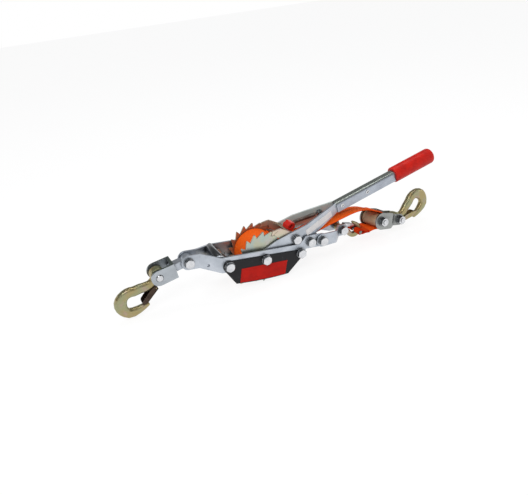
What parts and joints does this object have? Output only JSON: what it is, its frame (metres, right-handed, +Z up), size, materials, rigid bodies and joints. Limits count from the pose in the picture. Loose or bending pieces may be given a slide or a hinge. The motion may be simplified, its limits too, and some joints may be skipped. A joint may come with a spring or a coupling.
{
  "type": "come along winch",
  "caption": "Hand-operated ratchet puller with toothed drum, webbing strap, long lever handle, pulley block and latched swivel hooks for pulling and tensioning loads.",
  "frame": {"origin": "centre of the bounding box in X and Y, on the floor the winch lies on", "axes": "+X from the front hook towards the grip, +Y away from the near side plate, +Z up"},
  "size_m": [0.7329, 0.0991, 0.1681],
  "materials": {
    "black_guard": "gloss",
    "bright_zinc": "polished",
    "orange_webbing": "woven",
    "red_grip": "satin",
    "red_panel": "gloss",
    "roller_tan": "satin",
    "spring_steel": "satin",
    "white_strip": "gloss",
    "yellow_zinc": "satin",
    "zinc": "satin"
  },
  "bodies": {
    "frame": {"side_plate_near": "zinc", "side_plate_far": "zinc", "guard_near": "black_guard", "guard_far": "black_guard", "guard_panel": "red_panel", "nose_bolt": "bright_zinc", "nose_spacer": "zinc", "guard_bolt_left": "bright_zinc", "drum_axle_bolt": "bright_zinc", "guard_bolt_right": "bright_zinc", "right_spacer": "zinc", "neck_bolt": "bright_zinc", "link_bolt": "bright_zinc", "holding_pawl_spring": "spring_steel", "strap_front": "orange_webbing"},
    "drum": {"ratchet_near": "yellow_zinc", "ratchet_far": "yellow_zinc", "drum_tube": "zinc", "strap_wound": "orange_webbing"},
    "holding_pawl": {"holding_pawl": "yellow_zinc"},
    "handle": {"yoke_arm_near": "zinc", "yoke_arm_far": "zinc", "handle_channel": "zinc", "handle_grip": "red_grip", "arm_strip": "white_strip", "lap_rivets": "bright_zinc", "pawl_bolt": "bright_zinc", "stop_bolt": "bright_zinc", "drive_pawl_spring": "spring_steel"},
    "drive_pawl": {"drive_pawl": "yellow_zinc", "pawl_tab": "red_grip"},
    "swivel_eye": {"swivel_eye": "zinc"},
    "clevis": {"clevis": "bright_zinc", "front_hook_pin": "bright_zinc"},
    "front_hook": {"front_hook": "yellow_zinc"},
    "front_latch": {"front_latch": "spring_steel"},
    "rear_link": {"link_near": "zinc", "link_far": "zinc", "anchor_bolt": "bright_zinc", "strap_upper": "orange_webbing"},
    "anchor_hook": {"anchor_hook": "yellow_zinc", "strap_eye": "orange_webbing", "strap_pin": "bright_zinc"},
    "anchor_latch": {"anchor_latch": "bright_zinc"},
    "block": {"block_cheek_near": "zinc", "block_cheek_far": "zinc", "pulley_bolt": "bright_zinc", "rear_hook_bolt": "bright_zinc", "strap_wrap": "orange_webbing", "strap_lower": "orange_webbing"},
    "pulley": {"strap_pulley": "roller_tan"},
    "rear_hook": {"rear_hook": "yellow_zinc"},
    "rear_latch": {"rear_latch": "spring_steel"}
  },
  "joints": [
    {"name": "drum_turn", "type": "hinge", "parent": "frame", "child": "drum", "pos_m": [-0.072, 0, 0.0532], "axis": [0, -1, 0], "range_deg": [0, 120]},
    {"name": "handle_swing", "type": "hinge", "parent": "frame", "child": "handle", "pos_m": [-0.072, 0, 0.0532], "axis": [0, -1, 0], "range_deg": [0, 120]},
    {"name": "drive_pawl_lift", "type": "hinge", "parent": "handle", "child": "drive_pawl", "pos_m": [0.00048, 0, 0.07198], "axis": [0, -1, 0], "range_deg": [-18, 0], "stiffness_Nm_per_rad": 0.15, "springref_deg": 22.92},
    {"name": "holding_pawl_lift", "type": "hinge", "parent": "frame", "child": "holding_pawl", "pos_m": [-0.14875, 0, 0.06399], "axis": [0, 1, 0], "range_deg": [-8.5, 0]},
    {"name": "nose_swing", "type": "hinge", "parent": "frame", "child": "swivel_eye", "pos_m": [-0.21724, 0, 0.08321], "axis": [0, 1, 0], "range_deg": [-15, 15]},
    {"name": "front_swivel", "type": "hinge", "parent": "swivel_eye", "child": "clevis", "pos_m": [-0.21724, 0, 0.08321], "axis": [-0.989, 0, -0.1478], "continuous": true},
    {"name": "front_hook_swing", "type": "hinge", "parent": "clevis", "child": "front_hook", "pos_m": [-0.27707, 0, 0.07426], "axis": [0, 1, 0], "range_deg": [-30, 30]},
    {"name": "front_latch_open", "type": "hinge", "parent": "front_hook", "child": "front_latch", "pos_m": [-0.28602, 0, 0.05124], "axis": [0, 1, 0], "range_deg": [0, 28], "stiffness_Nm_per_rad": 0.05, "springref_deg": -28.65},
    {"name": "link_swing", "type": "hinge", "parent": "frame", "child": "rear_link", "pos_m": [0.05549, 0, 0.05497], "axis": [0, 1, 0], "range_deg": [-3, 17], "deforming": ["strap_front", "strap_upper"]},
    {"name": "anchor_hook_swing", "type": "hinge", "parent": "rear_link", "child": "anchor_hook", "pos_m": [0.11833, 0, 0.05058], "axis": [0, 1, 0], "range_deg": [-12, 12]},
    {"name": "anchor_latch_open", "type": "hinge", "parent": "anchor_hook", "child": "anchor_latch", "pos_m": [0.13245, 0, 0.05301], "axis": [0, 1, 0], "range_deg": [0, 28], "stiffness_Nm_per_rad": 0.02, "springref_deg": -28.65},
    {"name": "strap_pay_out", "type": "slide", "parent": "rear_link", "child": "block", "axis": [0.9903, 0, -0.1392], "range_m": [0, 0.2], "deforming": ["strap_upper", "strap_lower"]},
    {"name": "pulley_spin", "type": "hinge", "parent": "block", "child": "pulley", "pos_m": [0.21073, 0, 0.04224], "axis": [-0.0915, 0.9898, -0.1093], "continuous": true},
    {"name": "rear_hook_swing", "type": "hinge", "parent": "block", "child": "rear_hook", "pos_m": [0.26664, 0.00351, 0.02725], "axis": [-0.0915, 0.9898, -0.1093], "range_deg": [-32, 38]},
    {"name": "rear_latch_open", "type": "hinge", "parent": "rear_hook", "child": "rear_latch", "pos_m": [0.28986, 0.00474, 0.01892], "axis": [0.0915, -0.9898, 0.1093], "range_deg": [0, 28], "stiffness_Nm_per_rad": 0.05, "springref_deg": -28.65}
  ],
  "couplings": [
    {"joint": "drum_turn", "follows": "handle_swing", "ratio": 1}
  ]
}
